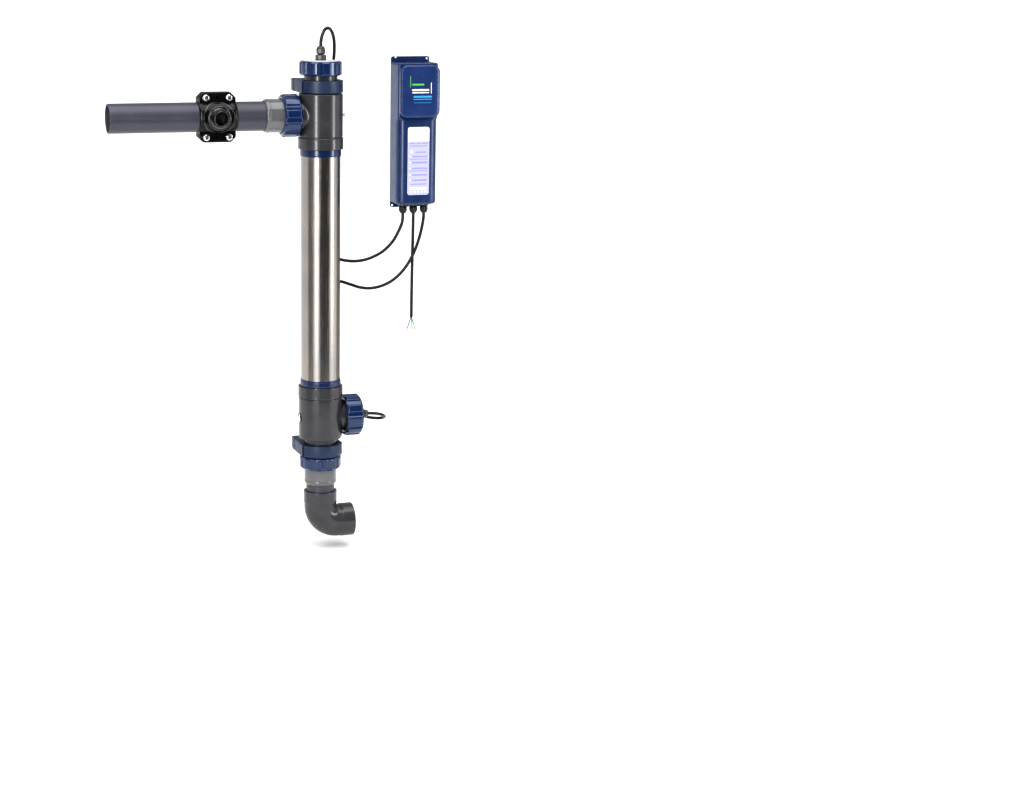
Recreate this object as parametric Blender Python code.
"""Wall-hung salt water chlorine generator: an upright flow cell between two pipe clips, its
unions, outlet pipe and tapping saddle, and the power box that feeds it through two leads.

Metres, +Z up. The wall is the plane Y = 0 and everything stands in front of it, towards -Y.
The origin is the middle of the upper pipe clip's back face.
"""

import math

import bmesh
import bpy
from mathutils import Euler, Vector

# ---------------------------------------------------------------- driving dimensions
WALL_TO_AXIS = 0.062  # wall to the cell's axis
CAP_TOP = 0.0427  # height of the cap nut's top face above the origin
GAP = 0.0004  # clearance between neighbouring pieces
WELD = 0.0000005
ROUND = 24  # sides of a turned piece
SMALL_ROUND = 12
SHARP = math.radians(35)

# Depths below the cap nut's top face
OUTLET_DEPTH = 0.0918
SIDE_PORT_DEPTH = 0.622
UPPER_CLIP_DEPTH = 0.0427
LOWER_CLIP_DEPTH = 0.6797
UPPER_RING = (0.1495, 0.1615)
LOWER_RING = (0.5525, 0.5643)
ELBOW_TOP_DEPTH = 0.756

# Cell body
TUBE_RADIUS = 0.0343
TUBE_WALL = 0.0015
TEE_RADIUS = 0.0383
TEE_HALF = 0.0373
COLLAR_RADIUS = 0.0394
COLLAR_HEIGHT = 0.020
RING_RADIUS = 0.0358
NECK_RADIUS = 0.0287
THREAD_RADIUS = 0.0322
NECK_BORE = 0.026
NECK_END = 0.0821  # from the tee's centre to its threaded end
BRANCH_END = 0.0563
SOCKET_FROM = 0.030  # from the tee's centre to the tube's end
SIDE_HOLE_RADIUS = 0.0029

# Unions: measured from the threaded end face they close on
NUT_RADIUS = 0.0368
NUT_BORE = 0.0326
NUT_LIP = 0.004
LUGS = 10
LINES_PER_LUG = 3
LUG_DEPTH = 0.0017
FLANGE_RADIUS = 0.0318
FLANGE_THICKNESS = 0.003
SEAL_SPACE = 0.0028
SEAL_RADIUS = 0.029
SEAL_SECTION = 0.0012

# Pipework
PIPE_RADIUS = 0.025
PIPE_BORE = 0.0228
SOCKET_RADIUS = PIPE_RADIUS + GAP
TAIL_RADIUS = 0.029
OUTLET_PIPE_END = 0.368
OUTLET_TAIL_END = 0.101
INLET_TAIL_END = 0.7435
ELBOW_RADIUS = 0.0295
ELBOW_ARM = 0.058
ELBOW_BEND = 0.029

# Tapping saddle on the outlet pipe
SADDLE_X = -0.184
SADDLE_HALF = 0.0333
SADDLE_RADIUS = 0.0287
SADDLE_FLANGE = 0.042
SADDLE_FLANGE_DEPTH = 0.0140
SADDLE_SPLIT = 0.0016
BOLT_X = 0.0198
BOLT_Z = 0.033
BOSS_RADIUS = 0.0165
BOSS_FRONT = 0.046
PORT_RADIUS = 0.0108
BOLT_HEAD = 0.0045
BOLT_HEAD_RADIUS = 0.0058
BOLT_SHANK = 0.0025

# Pipe clips
CLIP_HALF_WIDTH = 0.037
CLIP_HALF_HEIGHT = 0.0105
CLIP_ARM = 0.0126  # reach of the arms in front of the axis
CLIP_BORE = NECK_RADIUS + 0.0006
HINGE_X = 0.033
HINGE_Y = 0.0095  # in front of the axis
KNUCKLE = 0.0037
KNUCKLE_HALF = 0.005
PIN_RADIUS = 0.0015

# Power box
BOX_X = 0.181
BOX_HALF = 0.0365
BOX_TOP = 0.0065
BOX_BOTTOM = 0.253
BOX_DEPTH = 0.052
BOX_WALL = 0.003
PLATE_THICKNESS = 0.0025
PLATE_TOP = -0.003
PLATE_BOTTOM = 0.2625
PLATE_HALF = 0.0355
COVER_TOP = 0.009
COVER_BOTTOM = 0.100
COVER_FRONT = 0.063
GLAND_SPACING = 0.0195
GLAND_Y = -0.027
LABEL_TOP = 0.1165
LABEL_BOTTOM = 0.2353
LABEL_HALF = 0.0198

COVER_SEAT = 0.049  # front face of the housing under the cover
GASKET = 0.0012
WINDOW_HALF = 0.0285

# Electrodes and their head
HEAD_RADIUS = 0.0302
HEAD_TOP = 0.0108
HEAD_PLUG = 0.022
PLATES_TOP = 0.172
PLATES_BOTTOM = 0.540
PLATE_THICK = 0.0012
PLATE_PITCH = 0.006

# Flow sensor in the side port
SENSOR_FACE = 0.0125
SENSOR_BASE = 0.0055
STEM_RADIUS = 0.006
STEM_TIP = 0.018
PADDLE_PIVOT = 0.0225
PADDLE_PIN = 0.001

# Cable glands
GLAND_HOLE = 0.0031
GLAND_NECK = 0.0052
GLAND_BASE = 0.0095
GLAND_BASE_LENGTH = 0.0095
GLAND_NUT = 0.0078
GLAND_NUT_LENGTH = 0.0135
LEAD_RADIUS = 0.0027

MATERIALS = {
    "brushed_steel": ((0.62, 0.60, 0.58), 0.28, 1.0),
    "grey_pvc": ((0.115, 0.12, 0.135), 0.30, 0.0),
    "light_pvc": ((0.33, 0.33, 0.34), 0.28, 0.0),
    "pipe_pvc": ((0.085, 0.09, 0.115), 0.38, 0.0),
    "blue_pvc": ((0.018, 0.045, 0.17), 0.22, 0.0),
    "clip_blue": ((0.045, 0.07, 0.17), 0.5, 0.0),
    "box_blue": ((0.02, 0.045, 0.15), 0.3, 0.0),
    "pale_plastic": ((0.72, 0.69, 0.68), 0.4, 0.0),
    "dark_plastic": ((0.10, 0.10, 0.11), 0.4, 0.0),
    "black_plastic": ((0.012, 0.012, 0.013), 0.2, 0.0),
    "rubber": ((0.015, 0.015, 0.015), 0.7, 0.0),
    "titanium": ((0.42, 0.40, 0.38), 0.4, 1.0),
    "anode_coating": ((0.06, 0.055, 0.05), 0.6, 0.3),
    "zinc_steel": ((0.72, 0.72, 0.74), 0.25, 1.0),
    "aluminium": ((0.7, 0.7, 0.71), 0.35, 1.0),
    "board_green": ((0.02, 0.14, 0.06), 0.4, 0.0),
    "label_white": ((0.72, 0.72, 0.9), 0.35, 0.0),
    "cable_black": ((0.01, 0.01, 0.01), 0.35, 0.0),
}

UP = (0.0, 0.0, 0.0)
DOWN = (math.pi, 0.0, 0.0)
LEFT = (0.0, -math.pi / 2, 0.0)  # local +Z points to -X
RIGHT = (0.0, math.pi / 2, 0.0)
FRONT = (math.pi / 2, 0.0, 0.0)  # local +Z points to -Y
HALF_TURN = (0.0, math.pi, 0.0)


def level(depth):
    """Height of something that lies depth below the cap nut's top face."""
    return CAP_TOP - depth


def on_axis(depth, x=0.0):
    """A point in the plane of the cell's axis."""
    return (x, -WALL_TO_AXIS, level(depth))


# ---------------------------------------------------------------- making pieces
def clear_scene():
    for old in list(bpy.data.objects):
        bpy.data.objects.remove(old)


def material(name):
    made = bpy.data.materials.get(name)
    if made is None:
        colour, roughness, metallic = MATERIALS[name]
        made = bpy.data.materials.new(name)
        made.use_nodes = True
        shader = made.node_tree.nodes["Principled BSDF"]
        shader.inputs["Base Color"].default_value = (*colour, 1.0)
        shader.inputs["Roughness"].default_value = roughness
        shader.inputs["Metallic"].default_value = metallic
        made.diffuse_color = (*colour, 1.0)
    return made


def place(name, bm, finish, at=(0, 0, 0), turn=UP):
    """Turns a bmesh into a named object with its material, standing at a point."""
    bmesh.ops.remove_doubles(bm, verts=bm.verts, dist=WELD)
    bmesh.ops.recalc_face_normals(bm, faces=bm.faces)
    if bm.calc_volume(signed=True) < 0.0:
        bmesh.ops.reverse_faces(bm, faces=bm.faces)
    mesh = bpy.data.meshes.new(name)
    bm.to_mesh(mesh)
    bm.free()
    mesh.materials.append(material(finish))
    mesh.shade_smooth()
    mesh.set_sharp_from_angle(angle=SHARP)
    piece = bpy.data.objects.new(name, mesh)
    piece.location = at
    piece.rotation_euler = turn
    bpy.context.scene.collection.objects.link(piece)
    return piece


def combine(piece, other, operation):
    """Adds or cuts another solid, which stays in the file as a hidden guide."""
    other.hide_render = True
    other.display_type = "WIRE"
    boolean = piece.modifiers.new(other.name, "BOOLEAN")
    boolean.operation = operation
    boolean.solver = "EXACT"
    boolean.object = other


def cut(piece, *cutters):
    for cutter in cutters:
        combine(piece, cutter, "DIFFERENCE")


def join(piece, *additions):
    for addition in additions:
        combine(piece, addition, "UNION")


def turned(profile, steps=ROUND):
    """A (radius, height) outline spun round local Z; a ring where it keeps off the axis."""
    bm = bmesh.new()
    points = [bm.verts.new((radius, 0.0, height)) for radius, height in profile]
    edges = [bm.edges.new(pair) for pair in zip(points, points[1:])]
    if profile[0][0] > 0.0:
        edges.append(bm.edges.new((points[-1], points[0])))
    bmesh.ops.spin(
        bm,
        geom=points + edges,
        cent=(0, 0, 0),
        axis=(0, 0, 1),
        angle=2 * math.pi,
        steps=steps,
        use_merge=True,
    )
    bmesh.ops.remove_doubles(bm, verts=bm.verts, dist=WELD)
    return bm


def rod(radius, low, high, steps=SMALL_ROUND):
    return turned([(0, low), (radius, low), (radius, high), (0, high)], steps)


def tube(radius, bore, low, high, steps=ROUND):
    return turned([(bore, low), (radius, low), (radius, high), (bore, high)], steps)


def torus(ring, section, height=0.0, steps=ROUND, sides=5):
    turn = 2 * math.pi / sides
    outline = [
        (ring + section * math.cos(k * turn), height + section * math.sin(k * turn))
        for k in range(sides)
    ]
    return turned(outline, steps)


def block(low, high, round_edges=None, radius=0.0, segments=3):
    """A box between two corners; edges along the named axes can be rounded."""
    bm = bmesh.new()
    size = [b - a for a, b in zip(low, high)]
    middle = [(a + b) / 2 for a, b in zip(low, high)]
    bmesh.ops.create_cube(bm, size=1.0)
    bmesh.ops.scale(bm, vec=size, verts=bm.verts)
    if round_edges:
        chosen = []
        for edge in bm.edges:
            span = edge.verts[0].co - edge.verts[1].co
            axis = max(range(3), key=lambda k: abs(span[k]))
            if "XYZ"[axis] in round_edges:
                chosen.append(edge)
        bmesh.ops.bevel(
            bm, geom=chosen, offset=radius, segments=segments, profile=0.5, affect="EDGES"
        )
    bmesh.ops.translate(bm, vec=middle, verts=bm.verts)
    return bm


def prism(outline, low, high):
    """An (x, y) outline extruded along local Z."""
    bm = bmesh.new()
    face = bm.faces.new([bm.verts.new((x, y, low)) for x, y in outline])
    grown = bmesh.ops.extrude_face_region(bm, geom=[face])
    moved = [v for v in grown["geom"] if isinstance(v, bmesh.types.BMVert)]
    bmesh.ops.translate(bm, vec=(0, 0, high - low), verts=moved)
    return bm


def swept(path, radius, sides=ROUND):
    """A round bar along a path in the local XZ plane, closed at both ends."""
    bm = bmesh.new()
    rings = []
    for k, point in enumerate(path):
        ahead = path[min(k + 1, len(path) - 1)] - path[max(k - 1, 0)]
        across = Vector((ahead.z, 0.0, -ahead.x)).normalized()
        ring = []
        for s in range(sides):
            angle = 2 * math.pi * s / sides
            offset = across * math.cos(angle) + Vector((0, 1, 0)) * math.sin(angle)
            ring.append(bm.verts.new(point + offset * radius))
        rings.append(ring)
    for near, far in zip(rings, rings[1:]):
        for s in range(sides):
            t = (s + 1) % sides
            bm.faces.new((near[s], near[t], far[t], far[s]))
    bm.faces.new(rings[0])
    bm.faces.new(rings[-1])
    return bm


def smooth_route(points, spacing):
    """Even points along the Catmull-Rom curve through a route."""
    route = [Vector(p) for p in points]
    route = [2 * route[0] - route[1], *route, 2 * route[-1] - route[-2]]
    fine = []
    for a, b, c, d in zip(route, route[1:], route[2:], route[3:]):
        for step in range(24):
            t = step / 24
            fine.append(
                0.5
                * (
                    2 * b
                    + (c - a) * t
                    + (2 * a - 5 * b + 4 * c - d) * t * t
                    + (3 * b - a - 3 * c + d) * t * t * t
                )
            )
    fine.append(route[-2])
    total = sum((q - p).length for p, q in zip(fine, fine[1:]))
    count = max(2, round(total / spacing))
    even, walked, want = [fine[0]], 0.0, total / count
    for p, q in zip(fine, fine[1:]):
        stretch = (q - p).length
        while walked + stretch >= want and len(even) < count:
            even.append(p.lerp(q, (want - walked) / stretch))
            want += total / count
        walked += stretch
    even.append(fine[-1])
    return even


def cord(name, points, radius, finish, spacing):
    """A round cable along a smooth route, as a bevelled poly curve with closed ends."""
    route = smooth_route(points, spacing)
    curve = bpy.data.curves.new(name, "CURVE")
    curve.dimensions = "3D"
    spline = curve.splines.new("POLY")
    spline.points.add(len(route) - 1)
    for target, point in zip(spline.points, route):
        target.co = (*point, 1.0)
    curve.bevel_depth = radius
    curve.bevel_resolution = 2
    curve.use_fill_caps = True
    curve.materials.append(material(finish))
    piece = bpy.data.objects.new(name, curve)
    bpy.context.scene.collection.objects.link(piece)
    return piece


# ---------------------------------------------------------------- cell body
def tee(name, at, turn):
    """A tee with a socket below, a threaded neck above and a threaded branch along -X."""
    edge = 0.003
    column = turned(
        [
            (0, -TEE_HALF - COLLAR_HEIGHT),
            (COLLAR_RADIUS - 0.001, -TEE_HALF - COLLAR_HEIGHT),
            (COLLAR_RADIUS, -TEE_HALF - COLLAR_HEIGHT + 0.001),
            (COLLAR_RADIUS, -TEE_HALF - 0.002),
            (TEE_RADIUS, -TEE_HALF),
            (TEE_RADIUS, TEE_HALF - edge),
            (TEE_RADIUS - 0.001, TEE_HALF - 0.001),
            (TEE_RADIUS - edge, TEE_HALF),
            (NECK_RADIUS, TEE_HALF),
            (NECK_RADIUS, NECK_END - 0.013),
            (THREAD_RADIUS, NECK_END - 0.012),
            (THREAD_RADIUS, NECK_END),
            (0, NECK_END),
        ]
    )
    piece = place(name, column, "grey_pvc", at, turn)
    side = (Euler(turn).to_matrix() @ Euler(LEFT).to_matrix()).to_euler()
    branch = turned(
        [
            (0, 0.010),
            (0.0305, 0.010),
            (0.0305, TEE_RADIUS - 0.003),
            (NECK_RADIUS, TEE_RADIUS + 0.001),
            (NECK_RADIUS, BRANCH_END - 0.0153),
            (THREAD_RADIUS, BRANCH_END - 0.0143),
            (THREAD_RADIUS, BRANCH_END),
            (0, BRANCH_END),
        ]
    )
    bore = turned(
        [
            (0, -TEE_HALF - COLLAR_HEIGHT - 0.002),
            (TUBE_RADIUS + GAP, -TEE_HALF - COLLAR_HEIGHT - 0.002),
            (TUBE_RADIUS + GAP, -SOCKET_FROM),
            (TUBE_RADIUS - 0.002, -SOCKET_FROM),
            (TUBE_RADIUS - 0.004, TEE_HALF - 0.010),
            (NECK_BORE, TEE_HALF - 0.005),
            (NECK_BORE, NECK_END + 0.002),
            (0, NECK_END + 0.002),
        ]
    )
    join(piece, place(name + "_branch", branch, "grey_pvc", at, side))
    cut(
        piece,
        place(name + "_bore", bore, "grey_pvc", at, turn),
        place(name + "_branch_bore", rod(0.0225, 0.0, BRANCH_END + 0.002, 24), "grey_pvc", at, side),
        place(name + "_side_hole", rod(SIDE_HOLE_RADIUS, -0.045, -0.020, 12), "grey_pvc", at, side),
    )
    return piece


def seal_ring(name, depths):
    low, high = level(depths[1]), level(depths[0])
    edge = 0.0007
    bore = TUBE_RADIUS + GAP
    outline = [
        (bore, low),
        (RING_RADIUS, low),
        (RING_RADIUS, high),
        (bore, high),
    ]
    if depths[0] < SIDE_PORT_DEPTH / 2:
        outline[1:2] = [(RING_RADIUS - edge, low), (RING_RADIUS, low + edge)]
    else:
        outline[2:3] = [(RING_RADIUS, high - edge), (RING_RADIUS - edge, high)]
    place(name, turned(outline), "blue_pvc", (0, -WALL_TO_AXIS, 0))


def cell_body():
    tee("upper_tee", on_axis(OUTLET_DEPTH), UP)
    tee("lower_tee", on_axis(SIDE_PORT_DEPTH), HALF_TURN)
    top = level(OUTLET_DEPTH + SOCKET_FROM) - GAP
    bottom = level(SIDE_PORT_DEPTH - SOCKET_FROM) + GAP
    steel = tube(TUBE_RADIUS, TUBE_RADIUS - TUBE_WALL, bottom, top)
    place("steel_tube", steel, "brushed_steel", (0, -WALL_TO_AXIS, 0))
    seal_ring("upper_seal_ring", UPPER_RING)
    seal_ring("lower_seal_ring", LOWER_RING)


# ---------------------------------------------------------------- unions
def lugged(bm, radius):
    """Sinks every third line of points at the rim, which leaves ten flat-topped lugs."""
    for vert in bm.verts:
        reach = math.hypot(vert.co.x, vert.co.y)
        line = round(math.atan2(vert.co.y, vert.co.x) / (2 * math.pi) * LUGS * LINES_PER_LUG)
        if reach > radius - LUG_DEPTH and line % LINES_PER_LUG == 0:
            shrink = (radius - LUG_DEPTH) / reach
            vert.co.x *= shrink
            vert.co.y *= shrink
    return bm


def union_nut(name, length, hole, end, turn, lip=NUT_LIP):
    """A lugged ring nut; local Z = 0 is the threaded end face it closes on, the lip is above it."""
    top = SEAL_SPACE + FLANGE_THICKNESS + GAP + lip
    open_end = top - length
    outline = [
        (NUT_BORE, open_end),
        (NUT_RADIUS - 0.0028, open_end),
        (NUT_RADIUS, open_end + 0.003),
        (NUT_RADIUS, top - 0.0035),
        (NUT_RADIUS - 0.0032, top),
        (hole, top),
        (hole, top - lip),
        (NUT_BORE, top - lip),
    ]
    bm = lugged(turned(outline, LUGS * LINES_PER_LUG), NUT_RADIUS)
    place(name, bm, "blue_pvc", end, turn)


def tailpiece(name, end, turn, reach, bore_from):
    """The flanged socket that a union nut holds; its far end is reach from the face it seals on."""
    flange = SEAL_SPACE
    shoulder = flange + FLANGE_THICKNESS
    outline = [
        (0.0215, flange),
        (FLANGE_RADIUS, flange),
        (FLANGE_RADIUS, shoulder),
        (TAIL_RADIUS, shoulder),
        (TAIL_RADIUS, reach - 0.004),
        (TAIL_RADIUS - 0.0025, reach),
        (SOCKET_RADIUS, reach),
        (SOCKET_RADIUS, bore_from),
        (0.0215, bore_from),
    ]
    place(name, turned(outline), "light_pvc", end, turn)


def unions():
    cap_end = on_axis(OUTLET_DEPTH - NECK_END)
    outlet_end = on_axis(OUTLET_DEPTH, -BRANCH_END)
    inlet_end = on_axis(SIDE_PORT_DEPTH + NECK_END)
    side_end = on_axis(SIDE_PORT_DEPTH, BRANCH_END)
    tail_hole = TAIL_RADIUS + GAP
    union_nut("cap_nut", 0.0245, 0.0306, cap_end, UP)
    union_nut("outlet_union_nut", 0.0300, tail_hole, outlet_end, LEFT, 0.0085)
    union_nut("inlet_union_nut", 0.0230, tail_hole, inlet_end, DOWN)
    union_nut("sensor_union_nut", 0.0300, tail_hole, side_end, RIGHT, 0.0085)
    socket = 0.016
    tailpiece("outlet_tailpiece", outlet_end, LEFT, OUTLET_TAIL_END - BRANCH_END, socket)
    inlet_reach = INLET_TAIL_END - SIDE_PORT_DEPTH - NECK_END
    tailpiece("inlet_tailpiece", inlet_end, DOWN, inlet_reach, socket)
    for name, end, turn in (
        ("cap_o_ring", cap_end, UP),
        ("outlet_o_ring", outlet_end, LEFT),
        ("inlet_o_ring", inlet_end, DOWN),
        ("sensor_o_ring", side_end, RIGHT),
    ):
        ring = torus(SEAL_RADIUS, SEAL_SECTION, SEAL_SPACE / 2, 20)
        place(name, ring, "rubber", end, turn)


# ---------------------------------------------------------------- pipework
def outlet_pipe():
    start = BRANCH_END + 0.016 + GAP
    bm = tube(PIPE_RADIUS, PIPE_BORE, start, OUTLET_PIPE_END)
    place("outlet_pipe", bm, "pipe_pvc", on_axis(OUTLET_DEPTH), LEFT)


def inlet_pipework():
    start = level(SIDE_PORT_DEPTH + NECK_END + 0.016) - GAP
    end = level(ELBOW_TOP_DEPTH + 0.022)
    pipe = tube(PIPE_RADIUS, PIPE_BORE, end, start)
    place("inlet_pipe", pipe, "pipe_pvc", (0, -WALL_TO_AXIS, 0))
    corner = level(ELBOW_TOP_DEPTH + ELBOW_ARM)
    straight = ELBOW_ARM - ELBOW_BEND
    bend = []
    for k in range(7):
        angle = k / 6 * math.pi / 2
        x = ELBOW_BEND * (1 - math.cos(angle))
        z = ELBOW_BEND * (1 - math.sin(angle))
        bend.append(Vector((x, 0, z)))
    outer_path = [Vector((0, 0, ELBOW_ARM)), *bend, Vector((ELBOW_ARM, 0, 0))]
    bore_path = [Vector((0, 0, ELBOW_ARM + 0.002)), *bend, Vector((ELBOW_ARM + 0.002, 0, 0))]
    at = (0, -WALL_TO_AXIS, corner)
    elbow = place("inlet_elbow", swept(outer_path, ELBOW_RADIUS, ROUND), "grey_pvc", at)
    socket_from = straight + 0.0065
    vertical = rod(SOCKET_RADIUS, socket_from, ELBOW_ARM + 0.002, ROUND)
    level_socket = rod(SOCKET_RADIUS, socket_from, ELBOW_ARM + 0.002, ROUND)
    cut(
        elbow,
        place("elbow_bore", swept(bore_path, 0.0222, 16), "grey_pvc", at),
        place("elbow_socket_top", vertical, "grey_pvc", at),
        place("elbow_socket_side", level_socket, "grey_pvc", at, RIGHT),
    )


# ---------------------------------------------------------------- tapping saddle
def saddle_half(name, front):
    """Half of the two-piece saddle: a half barrel with a bolting flange above and below."""
    centre = on_axis(OUTLET_DEPTH, SADDLE_X)
    chamfer = 0.008
    half, reach = SADDLE_HALF, SADDLE_FLANGE
    outline = [
        (-half + chamfer, -reach),
        (half - chamfer, -reach),
        (half, -reach + chamfer),
        (half, reach - chamfer),
        (half - chamfer, reach),
        (-half + chamfer, reach),
        (-half, reach - chamfer),
        (-half, -reach + chamfer),
    ]
    plate = prism(outline, SADDLE_SPLIT / 2, SADDLE_FLANGE_DEPTH)
    facing = FRONT if front else (-math.pi / 2, 0.0, 0.0)
    piece = place(name, plate, "black_plastic", centre, facing)
    barrel = rod(SADDLE_RADIUS, -SADDLE_HALF + 0.0004, SADDLE_HALF - 0.0004, ROUND)
    solid = place(name + "_barrel", barrel, "black_plastic", centre, LEFT)
    far = 0.09
    trim = block((-far, -far, -far), (far, SADDLE_SPLIT / 2 + 0.0004, far))
    keep = place(name + "_trim", trim, "black_plastic", centre, UP if not front else (0, 0, math.pi))
    cut(solid, keep)
    join(piece, solid)
    if front:
        boss = turned(
            [
                (0, 0.020),
                (0.0206, 0.020),
                (0.0206, SADDLE_RADIUS + 0.002),
                (0.0195, SADDLE_RADIUS + 0.003),
                (BOSS_RADIUS, SADDLE_RADIUS + 0.003),
                (BOSS_RADIUS, BOSS_FRONT - 0.001),
                (BOSS_RADIUS - 0.001, BOSS_FRONT),
                (0, BOSS_FRONT),
            ],
            24,
        )
        join(piece, place("saddle_boss", boss, "black_plastic", centre, FRONT))
        port = rod(PORT_RADIUS, 0.0262, BOSS_FRONT + 0.002, 24)
        cut(piece, place("saddle_port", port, "black_plastic", centre, FRONT))
    cut(
        piece,
        place(name + "_seat", rod(SOCKET_RADIUS, -0.05, 0.05, ROUND), "black_plastic", centre, LEFT),
    )
    for index, (dx, dz) in enumerate(bolt_places()):
        at = (centre[0] + dx, centre[1], centre[2] + dz)
        hole = rod(0.0029, -0.02, 0.02, 10)
        cut(piece, place(f"{name}_hole_{index}", hole, "black_plastic", at, FRONT))


def bolt_places():
    return [(dx, dz) for dx in (-BOLT_X, BOLT_X) for dz in (-BOLT_Z, BOLT_Z)]


def saddle():
    saddle_half("saddle_front", True)
    saddle_half("saddle_back", False)
    centre = Vector(on_axis(OUTLET_DEPTH, SADDLE_X))
    face = SADDLE_FLANGE_DEPTH + GAP
    profile = [
        (0, face + BOLT_HEAD),
        (0.0052, face + BOLT_HEAD),
        (BOLT_HEAD_RADIUS, face + BOLT_HEAD - 0.001),
        (BOLT_HEAD_RADIUS, face),
        (BOLT_SHANK, face),
        (BOLT_SHANK, -face - 0.006),
        (0, -face - 0.006),
    ]
    for index, (dx, dz) in enumerate(bolt_places()):
        at = centre + Vector((dx, 0, dz))
        place(f"saddle_bolt_{index + 1}", turned(profile, 12), "zinc_steel", at, FRONT)


# ---------------------------------------------------------------- pipe clips
def clip(prefix, depth):
    """A U-shaped holder on the wall, closed in front by a strap that swings on a pin."""
    axis = Vector(on_axis(depth))
    height = CLIP_HALF_HEIGHT
    back = WALL_TO_AXIS
    body = block(
        (-CLIP_HALF_WIDTH, -CLIP_ARM, -height),
        (CLIP_HALF_WIDTH, back, height),
    )
    base = place(prefix + "_clip_base", body, "clip_blue", axis)
    far = 0.1
    throat = block((-CLIP_BORE, -far, -far), (CLIP_BORE, 0, far))
    hinge = axis + Vector((HINGE_X, -HINGE_Y, 0))
    corner = block((-0.005, -0.010, -far), (0.010, 0.0, far))
    rounded = rod(0.004, -height, height)
    slot = rod(KNUCKLE + 0.0007, -KNUCKLE_HALF - GAP, KNUCKLE_HALF + GAP)
    slot_mouth = block(
        (-0.0045, -0.012, -KNUCKLE_HALF - GAP), (0.0045, 0.0, KNUCKLE_HALF + GAP)
    )
    pocket = block((-0.0358, -0.02, -0.0055), (-0.0305, -0.0052, 0.0055))
    cut(
        base,
        place(prefix + "_clip_bore", rod(CLIP_BORE, -far, far, ROUND), "clip_blue", axis),
        place(prefix + "_clip_throat", throat, "clip_blue", axis),
        place(prefix + "_clip_corner", corner, "clip_blue", hinge),
    )
    join(base, place(prefix + "_clip_ear", rounded, "clip_blue", hinge))
    cut(
        base,
        place(prefix + "_clip_slot", slot, "clip_blue", hinge),
        place(prefix + "_clip_slot_mouth", slot_mouth, "clip_blue", hinge),
        place(prefix + "_clip_pocket", pocket, "clip_blue", axis),
        place(prefix + "_clip_pin_hole", rod(PIN_RADIUS + GAP, -far, far, 12), "clip_blue", hinge),
    )
    strap_front = tube(CLIP_HALF_WIDTH + 0.0002, CLIP_BORE + 0.0002, -height, height)
    bmesh.ops.translate(strap_front, vec=axis - hinge, verts=strap_front.verts)
    strap = place(prefix + "_clip_strap", strap_front, "clip_blue", hinge)
    behind = block((-far, -CLIP_ARM - GAP, -far), (far, far, far))
    relief = rod(0.0044, -far, far)
    knuckle = rod(KNUCKLE, -KNUCKLE_HALF, KNUCKLE_HALF)
    bridge = block((-0.0030, -0.0062, -KNUCKLE_HALF), (0.0022, -0.0010, KNUCKLE_HALF))
    tongue = block((-0.0350, -0.0150, -0.0048), (-0.0316, -0.0060, 0.0048))
    cut(
        strap,
        place(prefix + "_strap_trim", behind, "clip_blue", axis),
        place(prefix + "_strap_relief", relief, "clip_blue", hinge),
    )
    join(
        strap,
        place(prefix + "_strap_knuckle", knuckle, "clip_blue", hinge),
        place(prefix + "_strap_bridge", bridge, "clip_blue", hinge),
        place(prefix + "_strap_tongue", tongue, "clip_blue", axis),
    )
    cut(strap, place(prefix + "_strap_pin_hole", rod(PIN_RADIUS + GAP, -far, far, 12), "clip_blue", hinge))
    return hinge


def clips():
    length = CLIP_HALF_HEIGHT - GAP
    for prefix, depth in (("upper", UPPER_CLIP_DEPTH), ("lower", LOWER_CLIP_DEPTH)):
        hinge = clip(prefix, depth)
        place(prefix + "_clip_pin", rod(PIN_RADIUS, -length, length, 10), "zinc_steel", hinge)


# ---------------------------------------------------------------- cable glands
def gland(prefix, seat, turn, base, nut, has_body=True):
    """A cable gland: base = (radius, length) of its body, nut = (radius, length) of its dome nut."""
    base_radius, base_length = base
    nut_radius, nut_length = nut
    if has_body:
        body = turned(
            [
                (GLAND_HOLE, 0),
                (base_radius, 0),
                (base_radius - 0.001, base_length),
                (GLAND_NECK, base_length),
                (GLAND_NECK, base_length + 0.007),
                (GLAND_HOLE, base_length + 0.007),
            ],
            SMALL_ROUND,
        )
        place(prefix + "_gland_body", body, "dark_plastic", seat, turn)
    low = base_length + GAP
    high = low + nut_length
    dome = turned(
        [
            (GLAND_NECK + GAP, low),
            (nut_radius, low),
            (nut_radius, high - 0.005),
            (nut_radius - 0.0025, high - 0.0012),
            (GLAND_HOLE + 0.0005, high),
            (GLAND_HOLE, high),
            (GLAND_HOLE, low + 0.0085),
            (GLAND_NECK + GAP, low + 0.0085),
        ],
        SMALL_ROUND,
    )
    place(prefix + "_gland_nut", dome, "dark_plastic", seat, turn)


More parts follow.
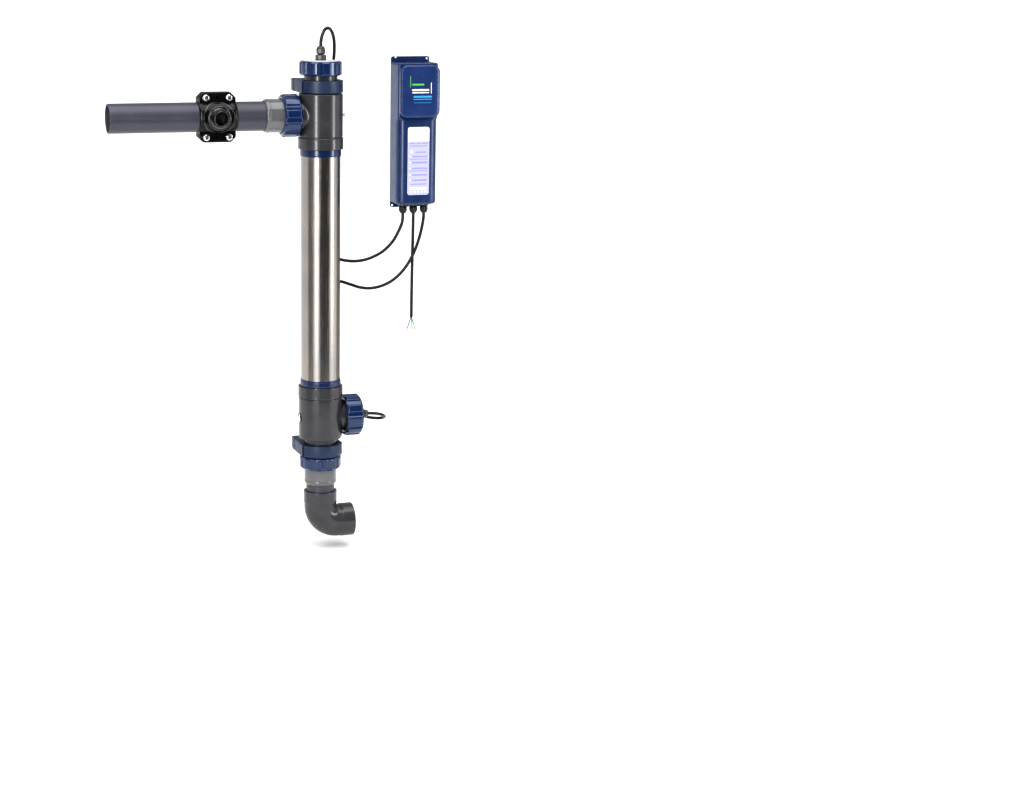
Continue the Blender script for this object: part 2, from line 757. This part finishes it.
# ---------------------------------------------------------------- electrode cell
def electrode_plates(name, side, spots, finish):
    """Plates standing side by side in the tube, joined above by a bus bar and a terminal rod."""
    half, tab = 0.0205, (0.004 * side, 0.016 * side)
    low, high, tab_top = level(PLATES_BOTTOM), level(PLATES_TOP), level(PLATES_TOP - 0.010)
    inner, outer = sorted(tab)
    outline = [
        (-half, low),
        (half, low),
        (half, high),
        (outer, high),
        (outer, tab_top),
        (inner, tab_top),
        (inner, high),
        (-half, high),
    ]
    solids = []
    for spot in spots:
        plate = prism(outline, spot - PLATE_THICK / 2, spot + PLATE_THICK / 2)
        solids.append(plate)
    reach = max(spots) + 0.0015
    bar = block((inner, -reach, tab_top - 0.003), (outer, reach, tab_top + 0.003))
    head_underside = level(OUTLET_DEPTH - NECK_END) - HEAD_PLUG - GAP
    stem = rod(0.003, tab_top, head_underside, 12)
    at = (0, -WALL_TO_AXIS, 0)
    piece = place(name, solids[0], finish, at, FRONT)
    for index, plate in enumerate(solids[1:]):
        join(piece, place(f"{name}_{index + 2}", plate, finish, at, FRONT))
    join(
        piece,
        place(name + "_bar", bar, finish, at),
        place(name + "_stem", stem, finish, (0.010 * side, -WALL_TO_AXIS, 0)),
    )


def spacer(name, depth):
    """A round frame in the tube with a window that the plates stand in."""
    height = 0.006
    ring = rod(TUBE_RADIUS - TUBE_WALL - GAP, -height / 2, height / 2, 24)
    piece = place(name, ring, "pale_plastic", on_axis(depth))
    window = block((-0.0209, -0.0101, -height), (0.0209, 0.0101, height))
    cut(piece, place(name + "_window", window, "pale_plastic", on_axis(depth)))


def electrode_cell():
    seat = on_axis(OUTLET_DEPTH - NECK_END)
    shoulder = SEAL_SPACE + FLANGE_THICKNESS
    head = turned(
        [
            (0, -HEAD_PLUG),
            (NECK_BORE - GAP, -HEAD_PLUG),
            (NECK_BORE - GAP, SEAL_SPACE),
            (FLANGE_RADIUS, SEAL_SPACE),
            (FLANGE_RADIUS, shoulder),
            (HEAD_RADIUS, shoulder),
            (HEAD_RADIUS, HEAD_TOP),
            (0, HEAD_TOP),
        ]
    )
    place("electrode_head", head, "pale_plastic", seat)
    spots = [PLATE_PITCH * k for k in (-1.5, -0.5, 0.5, 1.5)]
    electrode_plates("cathode_plates", 1, spots, "titanium")
    spots = [PLATE_PITCH * k for k in (-1, 0, 1)]
    electrode_plates("anode_plates", -1, spots, "anode_coating")
    spacer("upper_spacer", PLATES_TOP + 0.030)
    spacer("lower_spacer", PLATES_BOTTOM - 0.030)
    gland_seat = (0, -WALL_TO_AXIS, seat[2] + HEAD_TOP + GAP)
    base = (GLAND_BASE, GLAND_BASE_LENGTH)
    gland("cell", gland_seat, UP, base, (GLAND_NUT, GLAND_NUT_LENGTH))


# ---------------------------------------------------------------- flow sensor and screws
def flow_sensor():
    """A plug in the side port, with a forked stem that carries a paddle on a pin."""
    seat = on_axis(SIDE_PORT_DEPTH, BRANCH_END)
    shoulder = SEAL_SPACE + FLANGE_THICKNESS
    stem_end = -(BRANCH_END - STEM_TIP)
    plug = turned(
        [
            (0, stem_end),
            (STEM_RADIUS, stem_end),
            (STEM_RADIUS, -0.004),
            (0.0215, -0.002),
            (0.0215, SEAL_SPACE),
            (FLANGE_RADIUS, SEAL_SPACE),
            (FLANGE_RADIUS, shoulder),
            (TAIL_RADIUS - 0.0005, shoulder),
            (TAIL_RADIUS - 0.0005, SENSOR_FACE - 0.001),
            (TAIL_RADIUS - 0.0015, SENSOR_FACE),
            (0.011, SENSOR_FACE),
            (0.0095, SENSOR_FACE + SENSOR_BASE),
            (GLAND_NECK, SENSOR_FACE + SENSOR_BASE),
            (GLAND_NECK, SENSOR_FACE + SENSOR_BASE + 0.007),
            (0, SENSOR_FACE + SENSOR_BASE + 0.007),
        ]
    )
    piece = place("sensor_plug", plug, "grey_pvc", seat, RIGHT)
    pivot = on_axis(SIDE_PORT_DEPTH, PADDLE_PIVOT)
    lead_hole = rod(GLAND_HOLE, SENSOR_FACE, SENSOR_FACE + 0.03, 12)
    fork = block((-0.010, -0.0020, -0.010), (0.0050, 0.0020, 0.010))
    hole = rod(PADDLE_PIN + GAP, -0.02, 0.02, 10)
    cut(
        piece,
        place("sensor_lead_hole", lead_hole, "grey_pvc", seat, RIGHT),
        place("sensor_fork", fork, "grey_pvc", pivot),
        place("sensor_pin_hole", hole, "grey_pvc", pivot, FRONT),
    )
    pin = rod(PADDLE_PIN, -STEM_RADIUS + 0.0008, STEM_RADIUS - 0.0008, 10)
    place("paddle_pin", pin, "zinc_steel", pivot, FRONT)
    vane = block((-0.036, -0.012, -0.0009), (-0.0062, 0.012, 0.0009), "Z", 0.004, 2)
    paddle = place("flow_paddle", vane, "pale_plastic", pivot)
    lug = block((-0.0100, -0.0016, -0.0028), (0.0, 0.0016, 0.0028))
    eye = rod(0.0028, -0.0016, 0.0016)
    join(
        paddle,
        place("paddle_lug", lug, "pale_plastic", pivot),
        place("paddle_eye", eye, "pale_plastic", pivot, FRONT),
    )
    pin_hole = rod(PADDLE_PIN + GAP, -0.02, 0.02, 10)
    cut(paddle, place("paddle_hole", pin_hole, "pale_plastic", pivot, FRONT))
    gland_seat = on_axis(SIDE_PORT_DEPTH, BRANCH_END + SENSOR_FACE)
    nut = (GLAND_NUT, GLAND_NUT_LENGTH)
    gland("sensor", gland_seat, RIGHT, (GLAND_BASE, SENSOR_BASE), nut, has_body=False)


def tee_screws():
    face = TEE_RADIUS + 0.0006
    shank = SIDE_HOLE_RADIUS - GAP
    rim = face + 0.0018
    profile = [(0, 0.030), (shank, 0.030), (shank, face), (0.0046, face), (0.0046, rim), (0, rim)]
    bleed = turned(profile, 12)
    piece = place("bleed_screw", bleed, "dark_plastic", on_axis(OUTLET_DEPTH), RIGHT)
    wing = block((face + 0.001, -0.0012, -0.0048), (face + 0.0062, 0.0012, 0.0048))
    join(piece, place("bleed_wing", wing, "dark_plastic", on_axis(OUTLET_DEPTH)))
    dome = [
        (0.0084 * math.cos(k * math.pi / 8), face + 0.0008 + 0.0026 * math.sin(k * math.pi / 8))
        for k in range(4)
    ]
    earth = [(0, 0.030), (shank, 0.030), (shank, face), (0.0084, face), *dome, (0, face + 0.0034)]
    place("earth_screw", turned(earth, SMALL_ROUND), "zinc_steel", on_axis(SIDE_PORT_DEPTH), LEFT)


# ---------------------------------------------------------------- power box
def front_rounded(half, back, front, radius):
    """An (x, y) outline with square corners at the back and round ones in front."""
    outline = [(half, back), (-half, back)]
    for sign in (-1, 1):
        for k in range(5):
            angle = k * math.pi / 8
            along = angle if sign < 0 else math.pi / 2 - angle
            x = sign * (half - radius + radius * math.cos(along))
            outline.append((x, front + radius - radius * math.sin(along)))
    return outline


def box_shell():
    at = (BOX_X, 0, 0)
    low, high = level(BOX_BOTTOM), level(BOX_TOP)
    back = -PLATE_THICKNESS - GAP
    front = -BOX_DEPTH
    shelf = -COVER_SEAT
    outer = prism(front_rounded(BOX_HALF, back, front, 0.010), low, level(COVER_BOTTOM + 0.002))
    housing = place("box_housing", outer, "box_blue", at)
    upper = prism(
        front_rounded(BOX_HALF, back, shelf, 0.004), level(COVER_BOTTOM + 0.003), high
    )
    join(housing, place("housing_upper", upper, "box_blue", at))
    inside = front_rounded(BOX_HALF - BOX_WALL, 0.01, shelf + BOX_WALL, 0.006)
    cavity = prism(inside, low + BOX_WALL, high - BOX_WALL)
    window = block(
        (-WINDOW_HALF, shelf - 0.01, level(COVER_BOTTOM - 0.010)),
        (WINDOW_HALF, shelf + 0.006, level(COVER_TOP + 0.010)),
    )
    cut(
        housing,
        place("housing_cavity", cavity, "box_blue", at),
        place("housing_window", window, "box_blue", at),
    )
    for index in range(3):
        x = BOX_X + GLAND_SPACING * (index - 1)
        hole = rod(0.0045, low - 0.001, low + 0.006, 12)
        cut(housing, place(f"housing_gland_hole_{index}", hole, "box_blue", (x, GLAND_Y, 0)))


def box_cover():
    at = (BOX_X, 0, 0)
    seat = -COVER_SEAT - GASKET - 2 * GAP
    low, high = level(COVER_BOTTOM), level(COVER_TOP)
    half = BOX_HALF - 0.0003
    outer = block((-half, -COVER_FRONT, low), (half, seat, high), "Y", 0.013, 4)
    cover = place("box_cover", outer, "box_blue", at)
    wall = 0.0026
    inner = block(
        (-WINDOW_HALF - 0.001, -COVER_FRONT + wall, low + 0.0085),
        (WINDOW_HALF + 0.001, 0.0, high - 0.0085),
        "Y",
        0.007,
        3,
    )
    cut(cover, place("cover_hollow", inner, "box_blue", at))
    ring = block(
        (-half + 0.003, seat + GAP, low + 0.003), (half - 0.003, -COVER_SEAT - GAP, high - 0.003), "Y", 0.010, 3
    )
    gasket = place("cover_gasket", ring, "rubber", at)
    hole = block(
        (-WINDOW_HALF - 0.001, -0.1, low + 0.0085), (WINDOW_HALF + 0.001, 0.0, high - 0.0085), "Y", 0.007, 3
    )
    cut(gasket, place("gasket_hole", hole, "rubber", at))


def back_plate():
    at = (BOX_X, 0, 0)
    low, high = level(PLATE_BOTTOM), level(PLATE_TOP)
    sheet = block((-PLATE_HALF, -PLATE_THICKNESS, low), (PLATE_HALF, 0, high), "Y", 0.003, 2)
    plate = place("back_plate", sheet, "box_blue", at)
    holes = ((-0.0270, high - 0.0012), (0.0305, high - 0.0040), (-0.0315, low + 0.0035), (0.0315, low + 0.0035))
    for index, (x, z) in enumerate(holes):
        hole = rod(0.0021, -0.01, 0.01, 10)
        cut(plate, place(f"plate_hole_{index}", hole, "box_blue", (BOX_X + x, 0, z), FRONT))


def power_electronics():
    at = (BOX_X, 0, 0)
    board = block((-0.030, -0.0116, level(0.232)), (0.030, -0.0100, level(0.020)))
    piece = place("power_board", board, "board_green", at)
    terminals = block((-0.022, -0.0280, level(0.226)), (0.022, -0.0110, level(0.212)))
    join(piece, place("board_terminals", terminals, "board_green", at))
    core = block((-0.022, -0.0440, level(0.186)), (0.022, -0.0120, level(0.126)), "XYZ", 0.003, 2)
    place("transformer", core, "dark_plastic", at)
    sink = block((-0.024, -0.0155, level(0.094)), (0.024, -0.0120, level(0.026)))
    fins = place("heat_sink", sink, "aluminium", at)
    for k in range(7):
        x = -0.024 + 0.0005 + k * 0.0078
        fin = block((x, -0.0360, level(0.0938)), (x + 0.0012, -0.0150, level(0.0262)))
        join(fins, place(f"heat_sink_fin_{k}", fin, "aluminium", at))


def power_box():
    back_plate()
    box_shell()
    box_cover()
    power_electronics()
    front = -BOX_DEPTH - GAP
    low, high = level(LABEL_BOTTOM), level(LABEL_TOP)
    label = block((-LABEL_HALF, front - 0.0005, low), (LABEL_HALF, front, high), "Y", 0.004, 3)
    place("label_plate", label, "label_white", (BOX_X, 0, 0))
    names = ("left", "middle", "right")
    for index, name in enumerate(names):
        x = BOX_X + GLAND_SPACING * (index - 1)
        seat = (x, GLAND_Y, level(BOX_BOTTOM) - GAP)
        gland(name, seat, DOWN, (0.0085, 0.007), (0.0072, 0.0165))


# ---------------------------------------------------------------- leads
# Route points: (x, distance in front of the wall, depth below the cap nut's top face)
CELL_LEAD = (
    (0.0, 0.062, -0.0131),
    (0.0, 0.062, -0.0250),
    (0.0010, 0.061, -0.0352),
    (0.0052, 0.056, -0.0452),
    (0.0125, 0.046, -0.0525),
    (0.0225, 0.034, -0.0535),
    (0.0318, 0.022, -0.0460),
    (0.0372, 0.0155, -0.0325),
    (0.0386, 0.0125, -0.0140),
    (0.0378, 0.012, 0.0040),
    (0.0392, 0.012, 0.0180),
    (0.0418, 0.012, 0.0310),
    (0.0419, 0.012, 0.0545),
    (0.0410, 0.012, 0.0800),
    (0.0360, 0.012, 0.1250),
    (0.0260, 0.012, 0.1800),
    (0.0165, 0.012, 0.2350),
    (0.0120, 0.012, 0.2760),
    (0.0165, 0.0125, 0.3120),
    (0.0285, 0.014, 0.3370),
    (0.0460, 0.016, 0.3490),
    (0.0660, 0.019, 0.3535),
    (0.0860, 0.022, 0.3530),
    (0.1060, 0.0245, 0.3475),
    (0.1270, 0.0265, 0.3360),
    (0.1440, 0.027, 0.3190),
    (0.1555, 0.027, 0.2990),
    (0.1608, 0.027, 0.2850),
    (0.1615, 0.027, 0.2700),
    (0.1615, 0.027, 0.2620),
)
SENSOR_LEAD = (
    (0.0760, 0.062, 0.6220),
    (0.0895, 0.062, 0.6220),
    (0.1030, 0.0605, 0.6235),
    (0.1165, 0.054, 0.6280),
    (0.1255, 0.042, 0.6345),
    (0.1265, 0.028, 0.6400),
    (0.1170, 0.017, 0.6425),
    (0.1000, 0.0115, 0.6400),
    (0.0800, 0.010, 0.6300),
    (0.0600, 0.010, 0.6110),
    (0.0430, 0.010, 0.5850),
    (0.0300, 0.010, 0.5530),
    (0.0205, 0.010, 0.5150),
    (0.0145, 0.010, 0.4750),
    (0.0135, 0.010, 0.4380),
    (0.0190, 0.0105, 0.4090),
    (0.0325, 0.012, 0.3925),
    (0.0490, 0.014, 0.3900),
    (0.0670, 0.0165, 0.3955),
    (0.0850, 0.019, 0.4015),
    (0.1030, 0.021, 0.4035),
    (0.1220, 0.023, 0.4005),
    (0.1400, 0.0270, 0.3920),
    (0.1560, 0.0305, 0.3785),
    (0.1700, 0.0335, 0.3600),
    (0.1820, 0.0347, 0.3370),
    (0.1910, 0.0335, 0.3130),
    (0.1975, 0.0290, 0.2930),
    (0.2003, 0.027, 0.2790),
    (0.2005, 0.027, 0.2700),
    (0.2005, 0.027, 0.2620),
)
SUPPLY_LEAD = (
    (0.1810, 0.027, 0.2620),
    (0.1810, 0.027, 0.2790),
    (0.1807, 0.0272, 0.3100),
    (0.1800, 0.0275, 0.3500),
    (0.1795, 0.0277, 0.3900),
    (0.1792, 0.0278, 0.4300),
    (0.1792, 0.0278, 0.4580),
)


def leads():
    for name, route in (
        ("cell_lead", CELL_LEAD),
        ("sensor_lead", SENSOR_LEAD),
        ("supply_lead", SUPPLY_LEAD),
    ):
        points = [(x, -out, level(depth)) for x, out, depth in route]
        cord(name, points, LEAD_RADIUS, "cable_black", 6 * LEAD_RADIUS)


clear_scene()
cell_body()
unions()
outlet_pipe()
inlet_pipework()
saddle()
clips()
electrode_cell()
flow_sensor()
tee_screws()
power_box()
leads()
